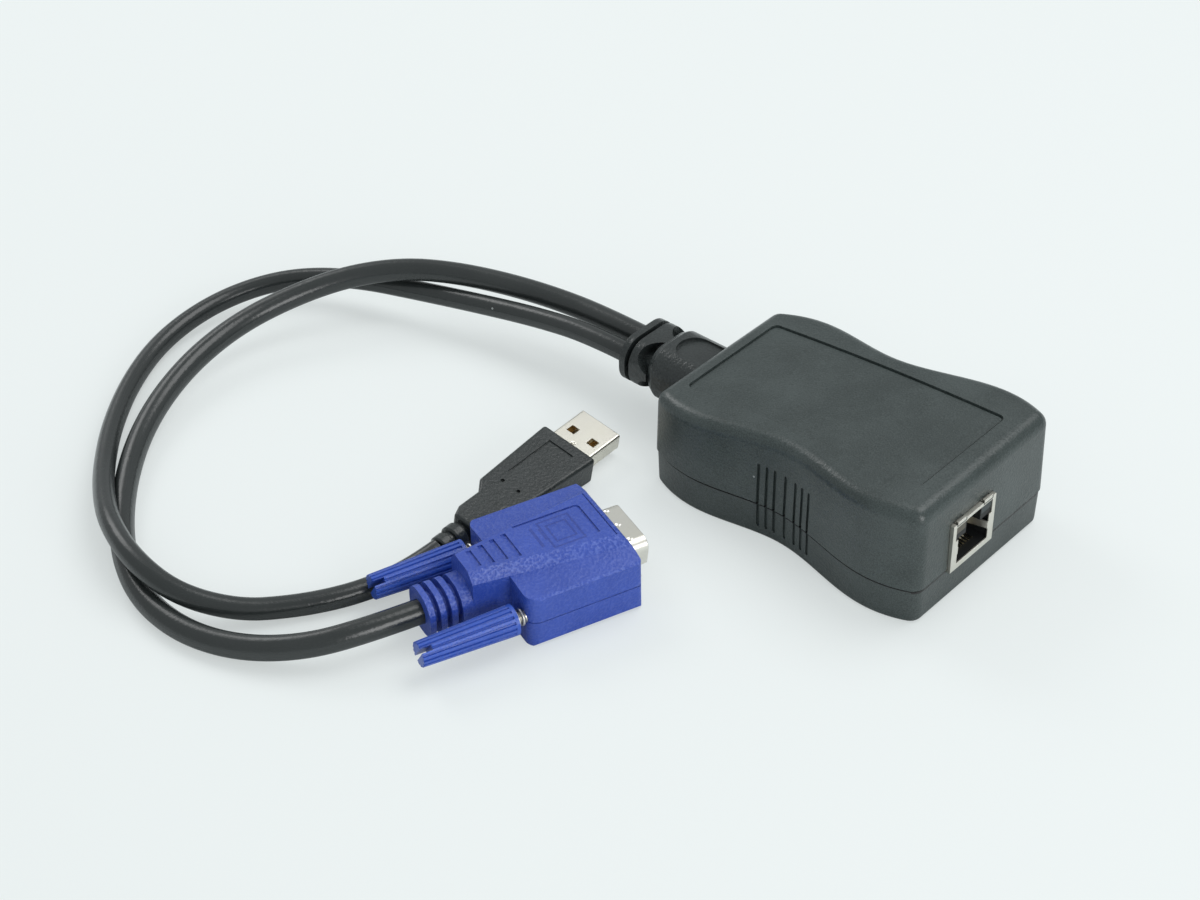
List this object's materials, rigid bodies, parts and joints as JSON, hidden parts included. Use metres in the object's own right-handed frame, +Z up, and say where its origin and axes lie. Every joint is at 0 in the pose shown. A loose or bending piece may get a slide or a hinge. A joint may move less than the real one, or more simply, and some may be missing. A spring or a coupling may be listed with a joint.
{
  "type": "keyboard video mouse dongle",
  "caption": "Waisted black server access dongle with a shielded network jack at one end and two short captive cables ending in a blue video plug and a USB plug.",
  "frame": {"origin": "centre of the case's underside, on the surface that the case and the plugs lie on", "axes": "+X along the case, out of the network jack; +Y across the case; +Z up out of the case's top"},
  "size_m": [0.2135, 0.1639, 0.031],
  "materials": {
    "case": "fine satin texture",
    "case_base": "fine satin texture",
    "screw_steel": "dull zinc",
    "board": "solder mask",
    "chip": "moulded epoxy",
    "can": "drawn can",
    "header": "moulded nylon",
    "wire": "insulated wire",
    "jack_metal": "tinned and bright",
    "jack_plastic": "moulded",
    "light_pipe": "clear moulded",
    "gold": "gold plated",
    "boot": "satin",
    "cable": "satin jacket",
    "blue_hood": "spark texture",
    "plug_metal": "nickel plated",
    "insert_plastic": "moulded",
    "knob": "moulded",
    "screw_metal": "nickel plated",
    "usb_plastic": "spark texture",
    "tongue_plastic": "moulded"
  },
  "bodies": {
    "dongle": {"upper_shell": "case", "lower_shell": "case_base", "case_screws": "screw_steel", "circuit_board": "board", "main_processor": "chip", "video_converter": "chip", "network_transformer": "chip", "crystal": "can", "filter_capacitors": "can", "video_header": "header", "usb_header": "header", "video_leads": "wire", "usb_leads": "wire", "network_jack_shield": "jack_metal", "network_jack_body": "jack_plastic", "network_jack_lights": "light_pipe", "network_jack_contacts": "gold", "strain_relief": "boot", "video_cable": "cable", "usb_cable": "cable", "video_hood": "blue_hood", "video_shell": "plug_metal", "video_insert": "insert_plastic", "video_pins": "gold", "usb_grip": "usb_plastic", "usb_shell": "plug_metal", "usb_tongue": "tongue_plastic", "usb_contacts": "gold"},
    "near_screw": {"thumbscrew_near": "knob", "jackscrew_near": "screw_metal"},
    "far_screw": {"thumbscrew_far": "knob", "jackscrew_far": "screw_metal"}
  },
  "joints": [
    {"name": "near_screw_turn", "type": "hinge", "parent": "dongle", "child": "near_screw", "pos_m": [-0.02343, -0.08419, 0.0072], "axis": [0.3355, 0.9421, 0], "continuous": true},
    {"name": "far_screw_turn", "type": "hinge", "parent": "dongle", "child": "far_screw", "pos_m": [-0.04697, -0.07581, 0.0072], "axis": [0.3355, 0.9421, 0], "continuous": true}
  ]
}
